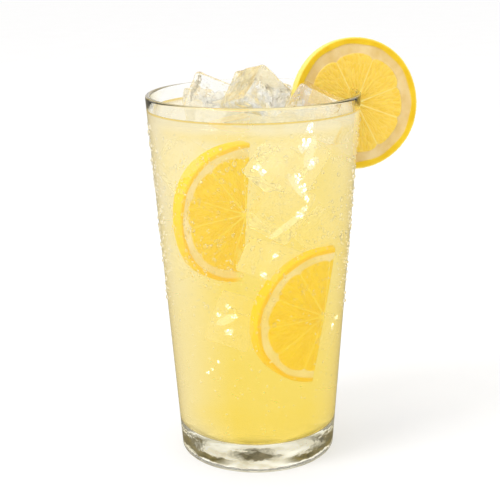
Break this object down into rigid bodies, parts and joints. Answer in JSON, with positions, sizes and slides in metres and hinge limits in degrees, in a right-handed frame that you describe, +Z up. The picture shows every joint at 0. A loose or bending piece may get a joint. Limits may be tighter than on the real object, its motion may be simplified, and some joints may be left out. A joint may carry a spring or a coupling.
{
  "type": "glass of lemonade",
  "caption": "Tall tapered glass of cloudy lemonade with ice, sunk lemon half slices and a lemon wheel slit onto the rim.",
  "frame": {"origin": "centre of the foot, on the surface it stands on", "axes": "+Z up along the glass, -Y the front, +X the side that the lemon wheel hangs on"},
  "size_m": [0.1147, 0.0888, 0.1768],
  "materials": {
    "clear_glass": "gloss",
    "lemonade": "gloss",
    "lemon": "satin",
    "ice": "gloss"
  },
  "bodies": {
    "root": {"glass": "clear_glass", "lemonade": "lemonade", "lemon_wheel": "lemon", "upper_slice": "lemon", "lower_slice": "lemon", "ice_left": "ice", "ice_middle": "ice", "ice_right": "ice", "ice_front": "ice", "ice_chip": "ice"}
  },
  "joints": []
}
